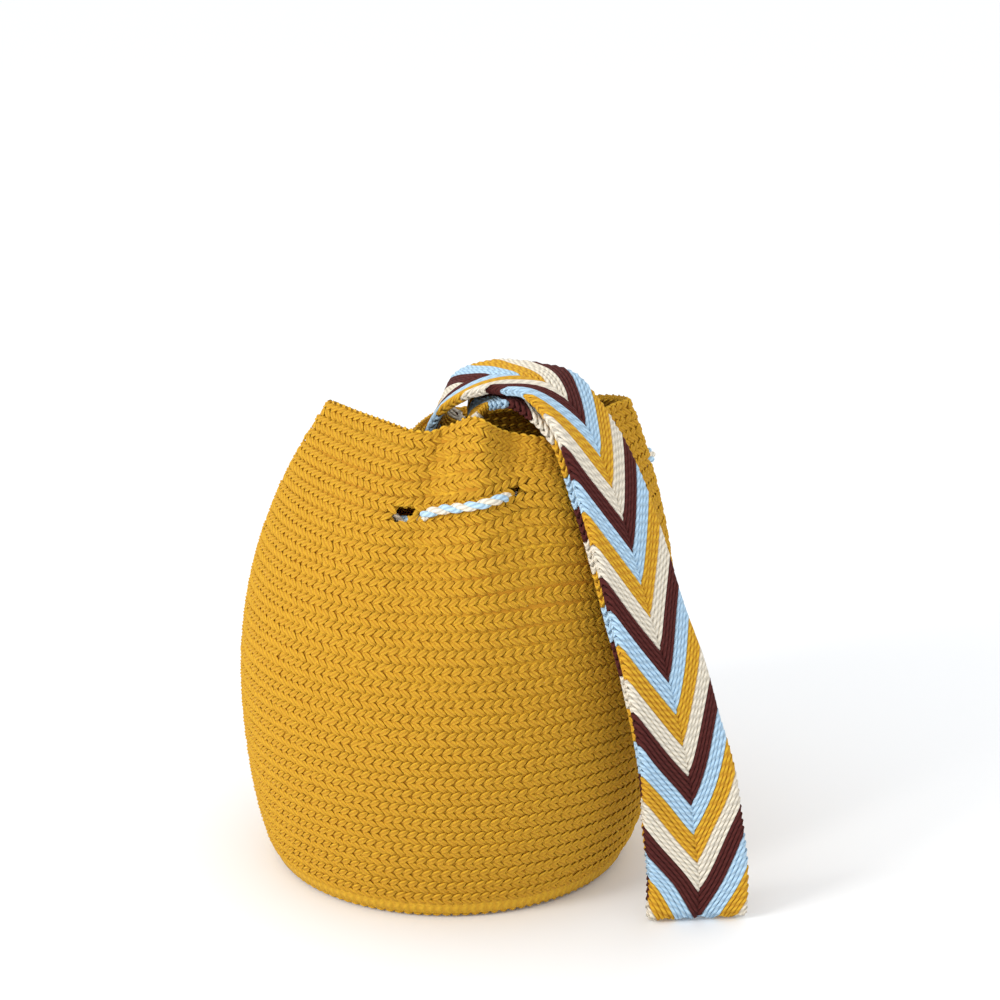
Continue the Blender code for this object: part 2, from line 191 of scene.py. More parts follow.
# Yarn finish.
FLECK_SCALE = 900.0
CLOUD_SCALE = 38.0
GROOVE_SHARPNESS = 3.6

# Stage.
FLOOR_HALF = 6.0
FLOOR_DROP = 0.0006
FLOOR_GLOW = 0.02
WORLD_STRENGTH = 1.07
KEY_PLACE = (-1.40, -1.10, 1.02)
KEY_SIZE = 0.6
KEY_POWER = 19.0
KEY_TINT = (1.0, 0.98, 0.95)
FILL_PLACE = (1.3, -1.4, 0.7)
FILL_SIZE = 1.2
FILL_POWER = 0.3
LIT_POINT = (0.0, 0.0, 0.13)
CAMERA_PLACE = (0.031, -1.5, 0.71)
CAMERA_TILT = 18.1
CAMERA_LENS = 96.0


# ---------------------------------------------------------------- sizes and colours

def length(name, text, default):
    """A length that a user can change."""
    return bpy.props.FloatProperty(name=name, description=text, default=default, subtype="DISTANCE",
                                   unit="LENGTH", precision=4)


def colour(name, text, default):
    """A colour that a user can change."""
    return bpy.props.FloatVectorProperty(name=name, description=text, default=default, size=3,
                                         min=0, max=1, subtype="COLOR")


class MochilaSizes(bpy.types.PropertyGroup):
    """Sizes of the stitches, strands and plies."""
    stitch_pitch: length("Stitch pitch", "Distance from stitch to stitch along a round", 0.00545)
    round_height: length("Round height", "Height of one crochet round up the wall", 0.0090)
    strand_pitch: length("Strand pitch", "Distance from strand to strand along the strap", 0.0047)
    strand_width: length("Strand width", "Width of one strand of the strap", 0.0026)
    strand_rise: length("Strand rise", "How far a strand runs along the strap from edge to middle", 0.051)
    strap_width: length("Strap width", "Width of the strap", 0.059)
    ply_pitch: length("Cord twist", "Length of one full twist of the drawstring", 0.016)


class MochilaColours(bpy.types.PropertyGroup):
    """Yarn colours, and the stage's."""
    mustard: colour("Mustard", "Yarn of the body and of one strap stripe", (0.72, 0.435, 0.030))
    cream: colour("Cream", "Undyed yarn", (0.86, 0.79, 0.66))
    maroon: colour("Maroon", "Dark yarn of the strap", (0.090, 0.018, 0.015))
    sky: colour("Light blue", "Light blue yarn", (0.49, 0.70, 0.89))
    floor: colour("Floor", "Pale floor and backdrop", (0.90, 0.92, 0.94))


# ---------------------------------------------------------------- geometry of the construction

def smooth(value):
    """Ease from 0 to 1."""
    value = np.clip(value, 0.0, 1.0)
    return value * value * (3 - 2 * value)


def through(knots, points, at):
    """Read a smooth curve that passes through points at the rising values in knots."""
    knots, points, at = np.asarray(knots, float), np.asarray(points, float), np.atleast_1d(at)
    i = np.clip(np.searchsorted(knots, at, side="right") - 1, 1, len(knots) - 3)
    span = knots[i + 1] - knots[i]
    u = ((at - knots[i]) / span)[:, None]
    start = (points[i + 1] - points[i - 1]) * (span / (knots[i + 1] - knots[i - 1]))[:, None]
    end = (points[i + 2] - points[i]) * (span / (knots[i + 2] - knots[i]))[:, None]
    return ((2 * u**3 - 3 * u**2 + 1) * points[i] + (u**3 - 2 * u**2 + u) * start
            + (3 * u**2 - 2 * u**3) * points[i + 1] + (u**3 - u**2) * end)


def rim_table():
    """The rim's angles and points in metres, run on past both ends so that it closes smoothly."""
    angles = [row[0] for row in RIM]
    points = [np.array(row[1:]) / 1000 for row in RIM]
    angles = [a - 360 for a in angles[-2:]] + angles + [a + 360 for a in angles[:3]]
    return np.array(angles, float), np.array(points[-2:] + points + points[:3])


RIM_ANGLES, RIM_POINTS = rim_table()


def turn_from(angle, middle):
    """Signed difference of angles in degrees, at most half a turn."""
    return (angle - middle + 180) % 360 - 180


def rise_over(angle, level):
    """How far the pinch of the drawstring lifts the rounds: at the pleat, and right of it."""
    turn = turn_from(angle, PLEAT_ANGLE)
    pleat = PLEAT_LIFT * np.exp(-((turn / PLEAT_SPREAD) ** 2)) * smooth((level - 0.85) / 0.13)
    gather = GATHER_LIFT * smooth((turn + 20) / 44) * (1 - smooth((turn - 20) / 45))
    return pleat + gather * np.exp(-(((level - SLOT_LEVEL + 0.01) / GATHER_SPREAD) ** 2)) * (
        1 - smooth((level - 0.88) / 0.12))


def wall(angle, level):
    """Points of the wall's outside: angle in degrees, level from 0 at the foot to 1 at the rim."""
    angle, level = np.broadcast_arrays(np.atleast_1d(angle).astype(float), level)
    rim = through(RIM_ANGLES, RIM_POINTS, (angle + 90) % 360 - 90)
    neck = np.clip((level - NECK_START) / (1 - NECK_START), 0, None) ** NECK_CURVE
    height = FOOT_RISE + level * (BAG_HEIGHT - FOOT_RISE)
    share = 1 - np.clip(height / BELLY_HEIGHT, None, 1.0)
    radius = BELLY_RADIUS - BASE_PINCH * share**BASE_CURVE
    turn = np.radians(angle)
    x = (1 - neck) * (BELLY_SHIFT * smooth(height / BELLY_HEIGHT) + radius * np.sin(turn))
    y = (1 - neck) * -radius * np.cos(turn)
    z = height + neck * (rim[:, 2] - BAG_HEIGHT) + rise_over(angle, level)
    return np.stack([x + neck * rim[:, 0], y + neck * rim[:, 1], z], axis=1)


def unit(vectors):
    """The direction of a vector, or of each vector in a row."""
    vectors = np.asarray(vectors, float)
    return vectors / np.linalg.norm(vectors, axis=-1, keepdims=True)


def distances(points):
    """Distance run along a line of points, at each of them."""
    return np.concatenate([[0.0], np.cumsum(np.linalg.norm(np.diff(points, axis=0), axis=1))])


def wall_frames(angle, level):
    """Place, direction along the round, direction up the wall and outward normal of points."""
    angle, level = np.broadcast_arrays(np.atleast_1d(angle).astype(float), level)
    place = wall(angle, level)
    along = unit(wall(angle + PROBE_ANGLE, level) - wall(angle - PROBE_ANGLE, level))
    above = wall(angle, np.clip(level + PROBE_LEVEL, None, 1.0))
    up = unit(above - wall(angle, np.clip(level - PROBE_LEVEL, 0, None)))
    out = unit(np.cross(along, up))
    return place, along, np.cross(out, along), out


def inward(angle, level, depth):
    """Points of the wall moved in from its outside."""
    place, _, _, out = wall_frames(angle, level)
    return place - np.reshape(depth, (-1, 1)) * out


def along_line(points, step):
    """Points about a step apart along a smooth curve through the given ones."""
    points = np.asarray(points, float)
    ends = np.vstack([2 * points[0] - points[1], points, 2 * points[-1] - points[-2]])
    knots = distances(ends)
    count = max(int(round((knots[-2] - knots[1]) / step)), 2)
    return through(knots, ends, np.linspace(knots[1], knots[-2] - 1e-9, count + 1))


# ---------------------------------------------------------------- materials

class Value:
    """A shader socket that takes part in Python expressions."""

    def __init__(self, nodes, socket):
        self.nodes, self.socket = nodes, socket

    def math(self, operation, *others):
        """A Math node on this value and others."""
        return self.nodes.add("ShaderNodeMath", {"operation": operation}, dict(enumerate((self, *others))))

    def __add__(self, other):
        return self.math("ADD", other)

    def __sub__(self, other):
        return self.math("SUBTRACT", other)

    def __mul__(self, other):
        return self.math("MULTIPLY", other)

    def __rsub__(self, other):
        return self.nodes.add("ShaderNodeMath", {"operation": "SUBTRACT"}, {0: other, 1: self})

    __radd__ = __add__
    __rmul__ = __mul__


class Finish:
    """A new material and its nodes."""

    def __init__(self, name, roughness):
        self.material = bpy.data.materials.new(name)
        self.material.use_nodes = True
        self.tree = self.material.node_tree
        self.shader = self.tree.nodes["Principled BSDF"]
        self.shader.inputs["Roughness"].default_value = roughness
        self.shader.inputs["Specular IOR Level"].default_value = 0.25

    def put(self, socket, value):
        """Link or set one socket."""
        if isinstance(value, Value):
            self.tree.links.new(value.socket, socket)
        else:
            socket.default_value = value

    def add(self, kind, settings=None, values=None, output=0):
        """Any node: its type, its settings, then its sockets' values or links."""
        node = self.tree.nodes.new(kind)
        for key, setting in (settings or {}).items():
            setattr(node, key, setting)
        for key, value in (values or {}).items():
            self.put(node.inputs[key], value)
        return Value(self, node.outputs[output])

    def place(self):
        """Object coordinates."""
        return self.add("ShaderNodeTexCoord", output="Object")

    def axes(self, vector):
        """The three numbers of a vector."""
        first = self.add("ShaderNodeSeparateXYZ", values={0: vector})
        return [Value(self, socket) for socket in first.socket.node.outputs]

    def uv(self):
        """The piece's own UV map as two numbers."""
        return self.axes(self.add("ShaderNodeUVMap", {"uv_map": "UVMap"}))[:2]

    def noise(self, scale, detail, roughness=0.5):
        """Noise on Object coordinates."""
        values = {"Vector": self.place(), "Scale": scale, "Detail": detail, "Roughness": roughness}
        return self.add("ShaderNodeTexNoise", {}, values, "Fac")

    def mix(self, factor, first, second):
        """Mix two colours, each a link or three numbers."""
        values = {0: factor}
        for socket, tint in ((6, first), (7, second)):
            values[socket] = tint if isinstance(tint, Value) else (*tint, 1)
        return self.add("ShaderNodeMix", {"data_type": "RGBA"}, values, 2)

    def bump(self, height, distance):
        """Raise the surface by a height in metres."""
        values = {"Height": height, "Distance": distance, "Strength": 1.0}
        self.put(self.shader.inputs["Normal"], self.add("ShaderNodeBump", {}, values, "Normal"))


def shade(tint, factor):
    """A colour made lighter, or darker and, if it is a strong colour, a little redder, copying the hue of
    shade on the mustard yarn; used for painted shade and highlight as well as random tone.
    """
    warm = max(1 - factor, 0) * 0.5 * (tint[0] > 4 * tint[2])
    turned = (1 + 0.4 * warm, 1 - warm, 1 - warm)
    return tuple(min(part * factor * turn, 1.0) for part, turn in zip(tint, turned))


def yarn(name, tint, twists, plies=2, depth=0.0003, dark=0.55, groove=None):
    """Twisted matt yarn: plies wound round the length of each strand, flecked and a little hairy.

    The UV map runs once along the strand and once round it. groove is where round a leg's section
    its two plies meet, or None where the plies wind round the strand. The grooves between plies are
    painted darker by dark, and the ply tops lighter: painted shade and painted highlight."""
    made = Finish(name, 0.92)
    run, around = made.uv()
    tone = made.add("ShaderNodeAttribute", {"attribute_name": "tone"}, output="Fac")
    if groove is None:
        ridge = ((run * twists + around * plies + tone * 9) * math.tau).math("SINE") * 0.5 + 0.5
    else:
        away = ((around - groove) * GROOVE_SHARPNESS).math("ABSOLUTE")
        ridge = away.math("SMOOTH_MIN", 1.0, 0.1)
    fleck = made.noise(FLECK_SCALE, 3, 0.7)
    cloud = made.noise(CLOUD_SCALE, 2)
    # Painted shade and highlight: darker colour in the grooves between plies, lighter on their tops.
    colour = made.mix(ridge.math("POWER", 0.6), shade(tint, dark), shade(tint, 1.08))
    colour = made.mix(fleck.math("GREATER_THAN", 0.60) * 0.35, colour, shade(tint, 1.35))
    colour = made.mix(cloud * 0.5, colour, shade(tint, 0.78))
    colour = made.mix(tone * 0.34, colour, shade(tint, 0.70))
    made.put(made.shader.inputs["Base Color"], colour)
    made.put(made.shader.inputs["Roughness"], 0.84 + fleck * 0.14)
    made.bump(ridge + fleck * 0.5, depth)
    return made.material


def knit_shell(name, tint):
    """Close crochet rounds on the body's own shell, for its inside and the gaps, with painted shade in the
    valleys between rounds and beads.
    """
    made = Finish(name, 0.95)
    x, y, z = made.axes(made.place())
    reach = (x * x + y * y).math("SQRT")
    low = z.math("LESS_THAN", 0.008)
    row = (z * (1 - low) + reach * low) * (SHELL_ROUNDS / BAG_HEIGHT)
    lift = (row * math.tau).math("COSINE") * 0.5 + 0.5
    lean = (row.math("FRACT") - 0.5).math("ABSOLUTE")
    beads = ((y.math("ARCTAN2", x) * 22 + lean * 1.4) * math.tau).math("SINE") * 0.5 + 0.5
    fleck = made.noise(FLECK_SCALE, 3, 0.7)
    height = lift * (0.6 + beads * 0.4) + fleck * 0.15
    # Painted shade: the shell is coloured darker where its relief is low, and darker than the stitches
    # overall where it shows in the gaps.
    colour = made.mix(height, shade(tint, 0.62), shade(tint, 0.95))
    made.put(made.shader.inputs["Base Color"], colour)
    made.bump(height, 0.0016)
    return made.material


# ---------------------------------------------------------------- making meshes

def add_piece(name, mesh):
    """Put a finished mesh in the scene, riding the bag."""
    piece = bpy.data.objects.new(name, mesh)
    bpy.context.scene.collection.objects.link(piece)
    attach(piece, BODY)
    return piece


def to_mesh(name, bm, *finishes):
    """A smooth mesh from a bmesh."""
    mesh = bpy.data.meshes.new(name)
    bm.to_mesh(mesh)
    bm.free()
    mesh.shade_smooth()
    for finish in finishes:
        mesh.materials.append(finish)
    return mesh


def round_section(run, around):
    """A plain round section, the same all along the run."""
    return math.cos(math.tau * around), math.sin(math.tau * around)


def rolled(rings, sides, section=round_section):
    """A closed tube of length 1 along X: a grid rolled up, welded and capped.

    Its UV map runs once along it and once round it. section gives a corner's Y and Z at a share
    of the length and a share of the way round."""
    bm = bmesh.new()
    bm.loops.layers.uv.new("UVMap")
    bmesh.ops.create_grid(bm, x_segments=rings, y_segments=sides, size=0.5, calc_uvs=True)
    for corner in bm.verts:
        run, around = corner.co.x + 0.5, corner.co.y + 0.5
        corner.co = (run, *section(run, around))
    bmesh.ops.remove_doubles(bm, verts=bm.verts, dist=1e-4)
    bmesh.ops.holes_fill(bm, edges=[e for e in bm.edges if e.is_boundary], sides=0)
    bmesh.ops.recalc_face_normals(bm, faces=bm.faces)
    mesh = bpy.data.meshes.new("form")
    bm.to_mesh(mesh)
    bm.free()
    return mesh


def corners_of(mesh):
    """A mesh's corners as an array."""
    spots = np.zeros(len(mesh.vertices) * 3)
    mesh.vertices.foreach_get("co", spots)
    return spots.reshape(-1, 3)


def many(name, form, spots, finishes, tones, kinds=None):
    """Copies of one form in one mesh, each laid out in its own shape.

    spots holds every copy's corners, tones how dark each copy is, kinds which finish it has, each
    as a list of rows of copies."""
    spots = np.concatenate(spots)
    tones = np.clip(np.concatenate(tones), 0, 1)
    bm = bmesh.new()
    for _ in spots:
        bm.from_mesh(form)
    mesh = bpy.data.meshes.new(name)
    bm.to_mesh(mesh)
    bm.free()
    mesh.vertices.foreach_set("co", spots.ravel())
    tone = mesh.attributes.new("tone", "FLOAT", "POINT")
    tone.data.foreach_set("value", np.repeat(tones, len(form.vertices)))
    for finish in finishes:
        mesh.materials.append(finish)
    if kinds is not None:
        kinds = np.repeat(np.concatenate(kinds), len(form.polygons))
        mesh.polygons.foreach_set("material_index", kinds)
    mesh.shade_smooth()
    mesh.update()
    bpy.data.meshes.remove(form)
    return mesh


def carried(line):
    """Directions along a line of points, and two square to it that don't twist on the way."""
    ahead = unit(np.gradient(line, axis=0))
    side = np.zeros_like(line)
    side[0] = unit(np.cross(ahead[0], (0.3, 0.2, 1.0)))
    for i in range(1, len(line)):
        side[i] = unit(side[i - 1] - ahead[i] * np.dot(side[i - 1], ahead[i]))
    return ahead, side, np.cross(ahead, side)


def add_tube(joined, line, radius, sides, kind=0):
    """Add a tube of one radius, or one a point, along a line of points; kind is its finish."""
    line = np.asarray(line, float)
    form = rolled(len(line) - 1, sides)
    local = corners_of(form)
    ring = np.rint(local[:, 0] * (len(line) - 1)).astype(int)
    _, side, other = carried(line)
    wide = np.broadcast_to(radius, (len(line),))[ring][:, None]
    spots = line[ring] + wide * (side[ring] * local[:, 1:2] + other[ring] * local[:, 2:3])
    form.vertices.foreach_set("co", spots.ravel())
    form.polygons.foreach_set("material_index", np.full(len(form.polygons), kind))
    joined.from_mesh(form)
    bpy.data.meshes.remove(form)


# ---------------------------------------------------------------- crochet body

def leg_section(run, around):
    """A leg of a stitch: two plies side by side, drawn in towards both ends."""
    turn, radius = LEG_SECTION[int(round(around * len(LEG_SECTION))) % len(LEG_SECTION)]
    swell = math.sin(math.pi * (0.05 + 0.90 * run)) ** 0.6
    slip = LEG_TWIST * (run - 0.5)
    return (swell * radius * math.cos(math.radians(turn + slip)),
            swell * radius * math.sin(math.radians(turn + slip)))


def leg(rings=LEG_RINGS):
    """One leg of a stitch, lying along X."""
    return rolled(rings, len(LEG_SECTION), leg_section)


def dyed(draw, count, middle=0.5, spread=TONE_SPREAD):
    """How dark each of a number of copies is, from 0 to 1."""
    return draw.normal(middle, spread, count)


def round_levels(height):
    """Levels of the middles of the rounds, each as high as the others, from the foot to the rim."""
    fine = np.linspace(0, 1, 201)
    around = np.arange(0, 360, 10.0)
    columns = np.array([wall(around, level) for level in fine])
    rises = np.linalg.norm(np.diff(columns, axis=0), axis=2).mean(axis=1)
    run = np.concatenate([[0.0], np.cumsum(rises)])
    count = int(round(run[-1] / height))
    return np.interp((np.arange(count) + 0.5) * run[-1] / count, run, fine)


def ring_angles(level, pitch, shift):
    """Angles of evenly spaced stitches along one round."""
    fine = np.linspace(0, 360, 721)
    run = distances(wall(fine, level))
    count = int(round(run[-1] / pitch))
    return np.interp((np.arange(count) + shift) % count * run[-1] / count, run, fine)


def lay_legs(frames, local, sizes_of_leg, rise=0.0):
    """Corners of one leg for each stitch: frames are origin, along, up and outward."""
    origin, along, up, out = frames
    long, wide, high, lean, shift_along, shift_up, shift_out = sizes_of_leg
    x = (local[:, 0] - 0.5) * long
    y = local[:, 1] * wide / 2
    z = local[:, 2] * high / 2
    cos = math.cos(math.radians(lean))
    sin = math.sin(math.radians(lean))
    flat_x = x * cos - y * sin + shift_along
    flat_y = x * sin + y * cos + shift_up * rise
    bow = z + shift_out - 0.16 * high * (local[:, 0] - 0.5) ** 2 * 4
    return (origin[:, None] + along[:, None] * flat_x[None, :, None]
            + up[:, None] * flat_y[None, :, None] + out[:, None] * bow[None, :, None])


def in_slot(angle, level):
    """Whether a stitch would close one of the drawstring's slots."""
    shut = np.zeros(np.shape(angle), bool)
    for slot, (left, right) in zip(SLOT_ANGLES, SLOT_SPANS):
        radius = np.hypot(*wall(slot, SLOT_LEVEL)[0, :2])
        past = np.radians(turn_from(angle, slot)) * radius
        open_by = 1 - ((past - (left + right) / 2) / ((right - left) / 2)) ** 2
        tall = SLOT_OPEN * np.sqrt(np.clip(open_by, 0, None))
        shut |= (open_by > 0) & (np.abs(level - SLOT_LEVEL) * BAG_HEIGHT < tall)
    return shut


def stitches(name, first, last, finish, sizes, seed, depth=0.0, flip=1.0):
    """Rounds of stitches between two shares of all rounds, on the wall's outside or inside."""
    draw = np.random.default_rng(seed)
    form = leg()
    local = corners_of(form)
    spots = []
    tones = []
    levels = round_levels(sizes.round_height)
    rise = sizes.round_height
    for number in range(int(first * len(levels)), int(last * len(levels))):
        level = levels[number]
        for one_leg in LEGS:
            angle = ring_angles(level, sizes.stitch_pitch, SPIRAL * number)
            angle = angle[~in_slot(angle, level + one_leg[5] * rise / BAG_HEIGHT)]
            angle = angle + draw.normal(0, 0.10, len(angle))
            origin, along, up, out = wall_frames(angle, level)
            origin = origin - depth * out + up * draw.normal(0, 0.00018, (len(angle), 1))
            origin = origin + out * draw.normal(0, 0.00012, (len(angle), 1))
            frames = (origin, along * flip, up, out * flip)
            spots.append(lay_legs(frames, local, one_leg, rise))
            tones.append(dyed(draw, len(angle)))
    return many(name, form, spots, [finish], tones)


def base_stitches(name, finish, sizes, seed):
    """Rounds of the flat base, from its middle to the foot of the wall."""
    draw = np.random.default_rng(seed)
    form = leg(BASE_LEG_RINGS)
    local = corners_of(form)
    down = np.array((0.0, 0.0, -1.0))
    spots = []
    tones = []
    gap = (FOOT_RADIUS + 0.003) / BASE_ROUNDS
    for number in range(BASE_ROUNDS):
        radius = (number + 0.5) * gap
        count = max(int(round(math.tau * radius / sizes.stitch_pitch)), 5)
        turn = (np.arange(count) + SPIRAL * number) * math.tau / count
        away = np.stack([np.sin(turn), -np.cos(turn), 0 * turn], axis=1)
        along = np.stack([np.cos(turn), np.sin(turn), 0 * turn], axis=1)
        frames = (away * radius + (0, 0, BASE_SINK), -along, away, np.tile(down, (count, 1)))
        for one_leg in BASE_LEGS:
            spots.append(lay_legs(frames, local, one_leg, gap))
            tones.append(dyed(draw, count, 0.45, 0.15))
    return many(name, form, spots, [finish], tones)


def rim_stitches(name, finish, seed):
    """The chain of closing stitches that lies along the top of the rim."""
    draw = np.random.default_rng(seed)
    form = leg()
    local = corners_of(form)
    angle = ring_angles(1.0, RIM_PITCH, 0.3)
    origin, along, up, out = wall_frames(angle, 1.0)
    spots = []
    tones = []
    for side, one_leg in zip((1, -1), RIM_LEGS):
        middle = origin - out * (WALL / 2 - side * RIM_APART) + up * RIM_RISE
        spots.append(lay_legs((middle, along, out, up), local, one_leg))
        tones.append(dyed(draw, len(angle), spread=0.15))
    return many(name, form, spots, [finish], tones)


def bag_shell(finish):
    """The wall that the stitches stand on: the construction's own, a little thinner."""
    bm = bmesh.new()
    bm.from_mesh(bpy.data.objects["bag_body"].data)
    bmesh.ops.remove_doubles(bm, verts=bm.verts, dist=1e-5)
    bm.normal_update()
    for corner, normal in [(c, c.normal.copy()) for c in bm.verts]:
        corner.co -= normal * SHELL_INSET
        corner.co.z = max(corner.co.z, BASE_SINK)
    return to_mesh("bag_shell", bm, finish)


# ---------------------------------------------------------------- strap

def sewn_stations(end):
    """Stations of the band where one end lies against the inside of the wall below the rim."""
    angle, levels = SEWN_ANGLES[end], SEWN_LEVELS[end]
    depth = WALL + STRAP_THICKNESS / 2 + SEWN_GAPS[end]
    made = []
    for level in levels:
        along = wall(angle - SEWN_SPAN, level)[0] - wall(angle + SEWN_SPAN, level)[0]
        made.append((inward(angle, level, depth)[0], unit(along)))
    return made


def metres(rows):
    """A route's centres in metres and its width directions."""
    return [(np.array(c) / 1000, unit(w)) for c, w in rows]


def rear_fall(fall):
    """Stations of the rear layer of the hanging strap, behind those of the front one."""
    rear = []
    for i in range(len(fall) - 1):
        centre, across = fall[i]
        normal = unit(np.cross(across, unit(fall[i + 1][0] - centre)))
        normal = normal if normal[1] > 0 else -normal
        shift = LAYER_SHIFT * float(smooth((len(fall) - 2 - i) / 3))
        rear.append((centre + normal * LAYER_SPACING - across * shift, across))
    return rear


def fold_stations(low, across):
    """Stations of the half turn by which the strap folds back on itself at the floor."""
    behind = unit(np.cross((0, 0, 1), across))
    top = STRAP_THICKNESS / 2 + LAYER_SPACING / 2
    fold = []
    for i in range(FOLD_STEPS + 1):
        turn = math.pi * i / FOLD_STEPS
        spot = (low[0], low[1], top - LAYER_SPACING / 2 * math.sin(turn))
        fold.append((spot + behind * LAYER_SPACING / 2 * (1 - math.cos(turn)), across))
    return fold


def strap_route():
    """Centre, across and outward direction of the band at close steps, and the distance run."""
    fall = metres(FALL)
    front = sewn_stations(0) + metres(ARCH) + fall[:-1]
    fold = fold_stations(*fall[-1])
    right = [(c, -w) for c, w in sewn_stations(1)]
    rows = front + fold + rear_fall(fall)[::-1] + metres(RETURN) + right
    centres = np.array([c for c, _ in rows])
    widths = np.array([w for _, w in rows])
    ends = np.vstack([2 * centres[0] - centres[1], centres, 2 * centres[-1] - centres[-2]])
    sides = np.vstack([widths[:1], widths, widths[-1:]])
    knots = distances(ends)
    fine = np.linspace(knots[1], knots[-2] - 1e-9, FINE)
    line = through(knots, ends, fine)
    across = through(knots, sides, fine)
    ahead = unit(np.gradient(line, axis=0))
    across = unit(across - ahead * (across * ahead).sum(axis=1, keepdims=True))
    run = distances(line)
    middle = len(front) + FOLD_STEPS // 2 + 1
    fold_at = float(np.interp(knots[middle], fine, run))
    return {"run": run, "line": line, "across": across, "out": np.cross(ahead, across), "fold": fold_at}


def on_strap(route, across, run, height):
    """World points of places given across the strap, along it and off its middle plane."""
    flat = np.ravel(run)

    def read(key):
        """One of the route's rows of vectors, at the places asked for."""
        found = [np.interp(flat, route["run"], route[key][:, axis]) for axis in range(3)]
        return np.stack(found, axis=-1).reshape(*np.shape(run), 3)

    sideways = unit(read("across")) * np.asarray(across)[..., None]
    return read("line") + sideways + unit(read("out")) * np.asarray(height)[..., None]


def strap_core(route, finish, sizes):
    """The hidden middle of the band: one flat closed sheet along the whole route, dark maroon so that where
    it shows between strands it is painted shade.
    """
    form = rolled(CORE_RINGS, CORE_SIDES)
    local = corners_of(form)
    bend = np.linalg.norm(np.gradient(unit(np.gradient(route["line"], axis=0)), axis=0), axis=1)
    effort = np.cumsum(bend / CORE_TURN + np.gradient(route["run"]) / CORE_STEP)
    effort = (effort - effort[0]) / (effort[-1] - effort[0])
    run = np.interp(local[:, 0], effort, route["run"])
    across = local[:, 1] * (sizes.strap_width / 2 - 2 * EDGE_ROLL)
    spots = on_strap(route, across, run, local[:, 2] * CORE_HALF)
    return many("strap_core", form, [spots[None]], [finish], [[0.5]])


def strap_arms(name, route, face, finishes, sizes, seed):
    """The diagonal strands of one face: each runs from the middle line out and over the edge."""
    draw = np.random.default_rng(seed)
    form = rolled(ARM_RINGS, ARM_SIDES)
    local = corners_of(form)
    half = sizes.strap_width / 2 - sizes.strand_width / 2
    flat = half - EDGE_ROLL
    reach = flat + EDGE_ROLL * math.pi / 2
    slope = sizes.strand_rise / reach
    total = route["run"][-1]
    first_tip = route["fold"] % (4 * STRANDS * sizes.strand_pitch)
    steps = np.arange(-4, int(total / sizes.strand_pitch) + 16)
    spots = []
    tones = []
    kinds = []
    for side in (-1, 1):
        tip = first_tip + (steps - (0.5 if side > 0 else 0.0)) * sizes.strand_pitch
        tip = tip + draw.normal(0, 0.00012, len(tip))
        start = np.clip((tip - total) / sizes.strand_rise, -0.03, 1)
        end = np.clip(tip / sizes.strand_rise, 0, 1)
        keep = end - start > 0.04
        tip = tip[keep]
        start = start[keep]
        end = end[keep]
        share = start[:, None] + (end - start)[:, None] * local[None, :, 0]
        away = share * reach
        run = tip[:, None] - away * slope
        roll = np.clip((away - flat) / EDGE_ROLL, 0, math.pi / 2)
        across = np.minimum(away, flat) + EDGE_ROLL * np.sin(roll)
        dive = MID_DIVE * (1 - smooth((away + 0.001) / MID_REACH))
        height = EDGE_ROLL * np.cos(roll) - dive + draw.normal(0, 0.00010, (len(tip), 1))
        angle = math.atan2(1, slope)
        y = local[None, :, 1] * sizes.strand_width / 2
        z = local[None, :, 2] * sizes.strand_width / 2
        across = across + y * math.cos(angle) * np.cos(roll) + z * np.sin(roll)
        run = run + y * math.sin(angle)
        height = height - y * math.cos(angle) * np.sin(roll) + z * np.cos(roll)
        run = np.clip(run, 0.0004, total - 0.0004)
        spots.append(on_strap(route, side * across, run, face * height))
        tones.append(dyed(draw, len(tip)))
        kinds.append(np.array(COLOUR_ORDER)[((steps[keep] - 1) // STRANDS) % len(COLOUR_ORDER)])
    mesh = many(name, form, spots, finishes, tones, kinds)
    bm = bmesh.new()
    bm.from_mesh(mesh)
    bmesh.ops.recalc_face_normals(bm, faces=bm.faces)
    bm.to_mesh(mesh)
    bm.free()
    mesh.shade_smooth()
    return mesh


def seam(name, route, end, finish, seed):
    """The stitches that sew one end of the strap to the wall."""
    draw = np.random.default_rng(seed)
    form = leg()
    local = corners_of(form)
    level = np.zeros(SEAM_STITCHES)
    spots = []
    for row in SEAM_ROWS:
        across = np.linspace(-SEAM_HALF, SEAM_HALF, SEAM_STITCHES) + draw.normal(0, 0.0004, SEAM_STITCHES)
        run = np.full(SEAM_STITCHES, route["run"][-1] - SEAM_END - row if end else SEAM_END + row)
        origin = on_strap(route, across, run, level)
        ahead = unit(on_strap(route, across, run + 0.001, level) - origin)
        wide = unit(on_strap(route, across + 0.001, run, level) - origin)
        out = np.cross(ahead, wide)
        inside = np.array(INSIDE_POINT) - origin.mean(axis=0)
        out = out * np.sign((out.mean(axis=0) * inside).sum())
        origin = origin + out * (STRAP_THICKNESS / 2)
        spots.append(lay_legs((origin, ahead, np.cross(out, ahead), out), local, SEAM_LEG))
    return many(name, form, spots, [finish], [dyed(draw, len(spots) * SEAM_STITCHES, spread=0.15)])


# ---------------------------------------------------------------- drawstring

def lacing_points():
    """The drawstring from one back slot, in and out round the bag, to the other back slot."""
    first = SLOT_ANGLES[4]
    last = SLOT_ANGLES[5] - 360
    outside = -(CORD_DIAMETER / 2 + CORD_CLEAR)
    inside = WALL + CORD_DIAMETER / 2 + CORD_CLEAR
    crossings = sorted((a if a <= first else a - 360) for a in SLOT_ANGLES)
    angle = np.linspace(first, last, 401)
    radius = np.hypot(*wall(angle, SLOT_LEVEL).T[:2])
    depth = np.full(len(angle), outside)
    for crossing in reversed(crossings):
        moved = CROSSING_MOVES.get(crossing, 0.0)
        past = (np.radians(crossing - angle) * radius + moved) / (CROSSING - 1.2 * abs(moved))
        depth = depth + ((inside + outside) - 2 * depth) * smooth(past + 0.5)
    past = np.radians(angle - SLOT_ANGLES[0]) * radius - SAG_AT
    sag = CORD_SAG * np.exp(-((past / SAG_REACH) ** 2))
    return inward(angle, SLOT_LEVEL, depth) - sag[:, None] * np.array((0, 0, 1))


